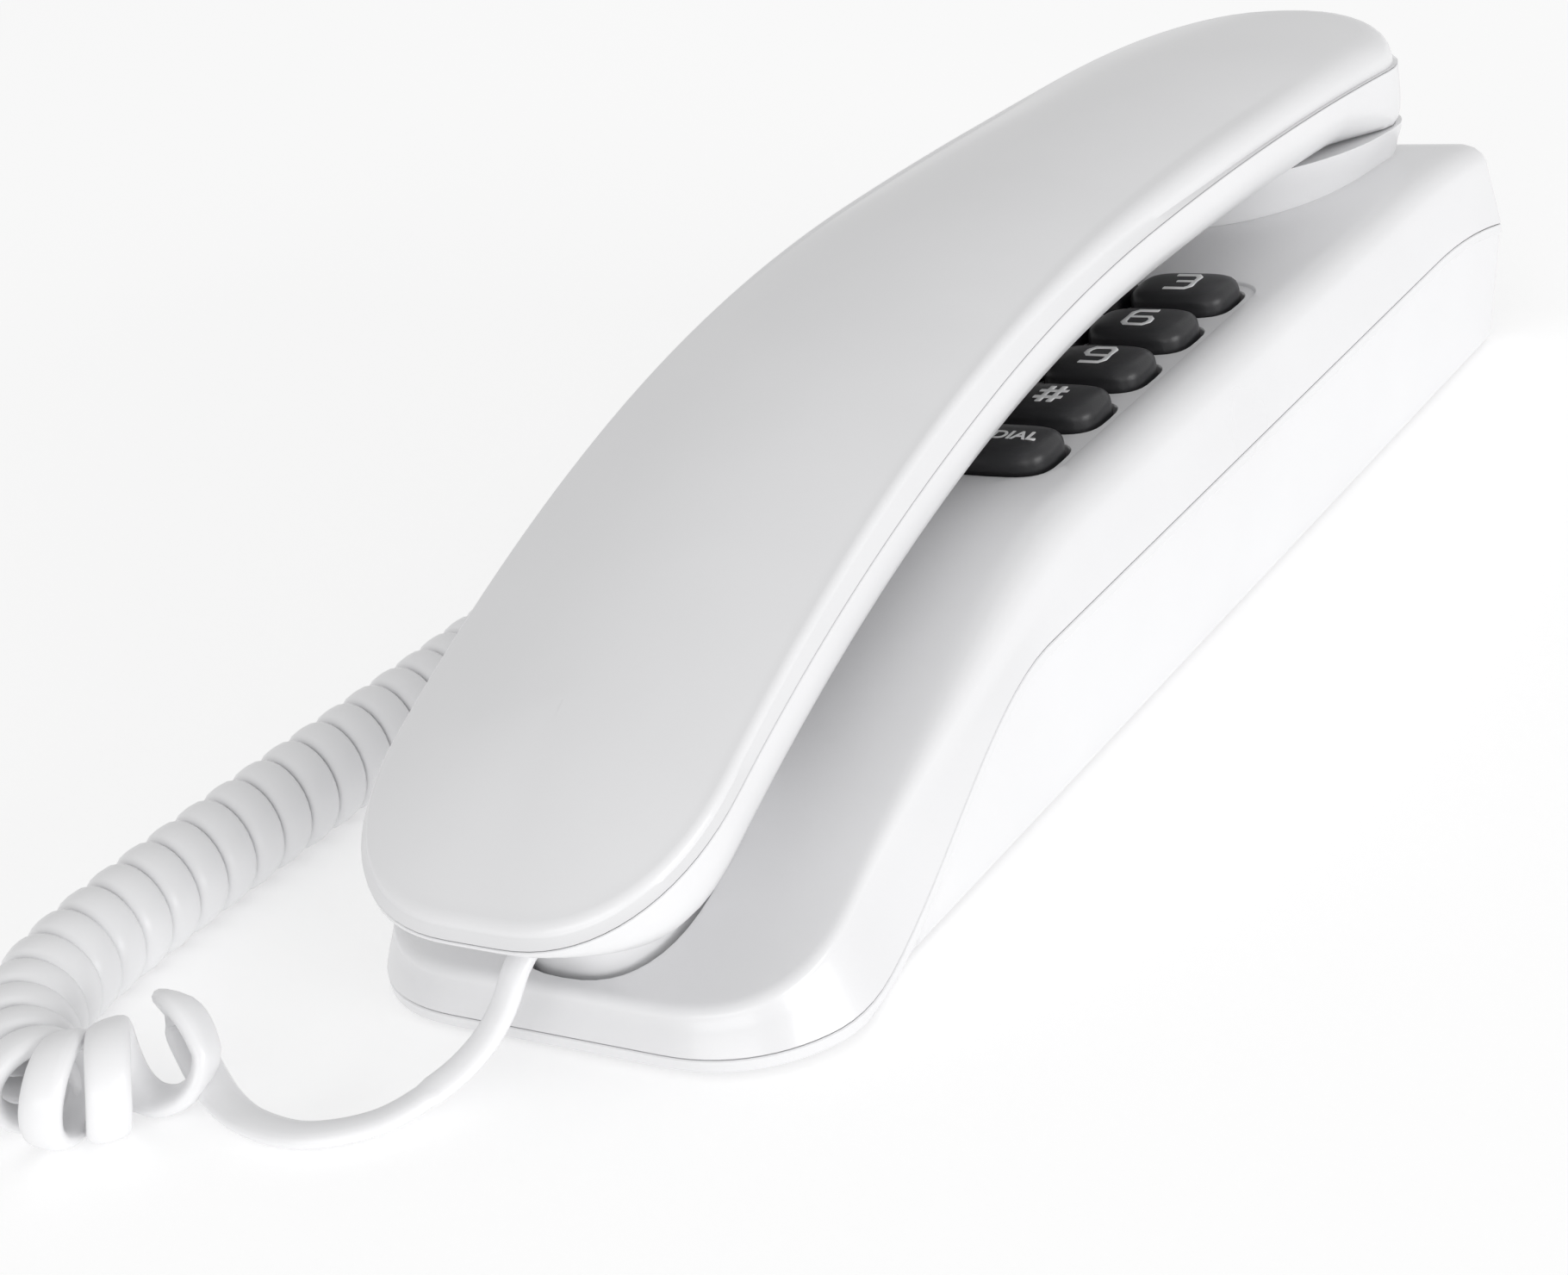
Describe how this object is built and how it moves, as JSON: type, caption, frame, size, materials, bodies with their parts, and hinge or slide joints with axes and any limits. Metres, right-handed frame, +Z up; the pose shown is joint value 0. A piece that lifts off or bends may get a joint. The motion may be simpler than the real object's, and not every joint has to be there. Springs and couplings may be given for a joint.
{
  "type": "slimline wall phone",
  "caption": "Slimline corded telephone: a long handset arched over a slim base with a push-button keypad, lying on its back, with a curly handset cord beside it.",
  "frame": {"origin": "on the table under the middle of the phone's length and width, cord left out", "axes": "+X across to the right, +Y along the phone from the microphone end to the earpiece end, +Z up from the back that lies on the table"},
  "size_m": [0.0947, 0.232, 0.0535],
  "materials": {
    "white_plastic": "satin gloss",
    "dark_plastic": "fine matte",
    "clear_plastic": "clear gloss",
    "black_plastic": "matte",
    "rubber": "matte",
    "circuit_board": "solder resist",
    "steel": "zinc plated",
    "brass": "plain",
    "cord_plastic": "satin"
  },
  "bodies": {
    "base": {"base_cord_jack": "black_plastic", "base_lower_shell": "white_plastic", "base_plug": "clear_plastic", "base_screw_1": "steel", "base_screw_2": "steel", "base_screw_3": "steel", "base_screw_4": "steel", "base_upper_shell": "white_plastic", "cord_coil": "cord_plastic", "cord_lead": "cord_plastic", "cord_tail": "cord_plastic", "dial_mode_switch": "black_plastic", "foot_1": "rubber", "foot_2": "rubber", "foot_3": "rubber", "foot_4": "rubber", "hook_switch": "black_plastic", "keypad_mat": "rubber", "line_jack": "black_plastic", "main_board": "circuit_board", "ringer_buzzer": "brass", "ringer_switch": "black_plastic"},
    "handset": {"handset_top_shell": "white_plastic", "handset_lower_shell": "white_plastic", "earpiece_gasket": "rubber", "earpiece_speaker": "steel", "microphone_capsule": "steel", "handset_weight": "steel", "handset_cord_jack": "black_plastic", "handset_plug": "clear_plastic", "handset_screw_1": "steel", "handset_screw_2": "steel"},
    "hook": {"hook_plunger": "white_plastic"},
    "ringer_knob": {"ringer_slide": "dark_plastic"},
    "dial_mode_knob": {"dial_mode_slide": "dark_plastic"},
    "key_1_cap": {"key_1": "dark_plastic"},
    "key_2_cap": {"key_2": "dark_plastic"},
    "key_3_cap": {"key_3": "dark_plastic"},
    "key_4_cap": {"key_4": "dark_plastic"},
    "key_5_cap": {"key_5": "dark_plastic"},
    "key_6_cap": {"key_6": "dark_plastic"},
    "key_7_cap": {"key_7": "dark_plastic"},
    "key_8_cap": {"key_8": "dark_plastic"},
    "key_9_cap": {"key_9": "dark_plastic"},
    "key_star_cap": {"key_star": "dark_plastic"},
    "key_0_cap": {"key_0": "dark_plastic"},
    "key_hash_cap": {"key_hash": "dark_plastic"},
    "key_mute_cap": {"key_mute": "dark_plastic"},
    "key_flash_cap": {"key_flash": "dark_plastic"},
    "key_redial_cap": {"key_redial": "dark_plastic"}
  },
  "joints": [
    {"name": "handset_lift", "type": "slide", "parent": "base", "child": "handset", "axis": [0, 0, 1], "range_m": [0, 0.08]},
    {"name": "hook_press", "type": "slide", "parent": "base", "child": "hook", "axis": [0, 0, 1], "range_m": [0, 0.004]},
    {"name": "ringer_select", "type": "slide", "parent": "base", "child": "ringer_knob", "axis": [1, 0, 0], "range_m": [0, 0.0034]},
    {"name": "dial_mode_select", "type": "slide", "parent": "base", "child": "dial_mode_knob", "axis": [1, 0, 0], "range_m": [0, 0.0034]},
    {"name": "key_1_press", "type": "slide", "parent": "base", "child": "key_1_cap", "axis": [0, 0, -1], "range_m": [0, 0.0012], "stiffness_N_per_m": 300, "springref_m": -0.0006},
    {"name": "key_2_press", "type": "slide", "parent": "base", "child": "key_2_cap", "axis": [0, 0, -1], "range_m": [0, 0.0012], "stiffness_N_per_m": 300, "springref_m": -0.0006},
    {"name": "key_3_press", "type": "slide", "parent": "base", "child": "key_3_cap", "axis": [0, 0, -1], "range_m": [0, 0.0012], "stiffness_N_per_m": 300, "springref_m": -0.0006},
    {"name": "key_4_press", "type": "slide", "parent": "base", "child": "key_4_cap", "axis": [0, 0, -1], "range_m": [0, 0.0012], "stiffness_N_per_m": 300, "springref_m": -0.0006},
    {"name": "key_5_press", "type": "slide", "parent": "base", "child": "key_5_cap", "axis": [0, 0, -1], "range_m": [0, 0.0012], "stiffness_N_per_m": 300, "springref_m": -0.0006},
    {"name": "key_6_press", "type": "slide", "parent": "base", "child": "key_6_cap", "axis": [0, 0, -1], "range_m": [0, 0.0012], "stiffness_N_per_m": 300, "springref_m": -0.0006},
    {"name": "key_7_press", "type": "slide", "parent": "base", "child": "key_7_cap", "axis": [0, 0, -1], "range_m": [0, 0.0012], "stiffness_N_per_m": 300, "springref_m": -0.0006},
    {"name": "key_8_press", "type": "slide", "parent": "base", "child": "key_8_cap", "axis": [0, 0, -1], "range_m": [0, 0.0012], "stiffness_N_per_m": 300, "springref_m": -0.0006},
    {"name": "key_9_press", "type": "slide", "parent": "base", "child": "key_9_cap", "axis": [0, 0, -1], "range_m": [0, 0.0012], "stiffness_N_per_m": 300, "springref_m": -0.0006},
    {"name": "key_star_press", "type": "slide", "parent": "base", "child": "key_star_cap", "axis": [0, 0, -1], "range_m": [0, 0.0012], "stiffness_N_per_m": 300, "springref_m": -0.0006},
    {"name": "key_0_press", "type": "slide", "parent": "base", "child": "key_0_cap", "axis": [0, 0, -1], "range_m": [0, 0.0012], "stiffness_N_per_m": 300, "springref_m": -0.0006},
    {"name": "key_hash_press", "type": "slide", "parent": "base", "child": "key_hash_cap", "axis": [0, 0, -1], "range_m": [0, 0.0012], "stiffness_N_per_m": 300, "springref_m": -0.0006},
    {"name": "key_mute_press", "type": "slide", "parent": "base", "child": "key_mute_cap", "axis": [0, 0, -1], "range_m": [0, 0.0012], "stiffness_N_per_m": 300, "springref_m": -0.0006},
    {"name": "key_flash_press", "type": "slide", "parent": "base", "child": "key_flash_cap", "axis": [0, 0, -1], "range_m": [0, 0.0012], "stiffness_N_per_m": 300, "springref_m": -0.0006},
    {"name": "key_redial_press", "type": "slide", "parent": "base", "child": "key_redial_cap", "axis": [0, 0, -1], "range_m": [0, 0.0012], "stiffness_N_per_m": 300, "springref_m": -0.0006}
  ],
  "couplings": [
    {"joint": "hook_press", "follows": "handset_lift", "ratio": 0.05}
  ]
}
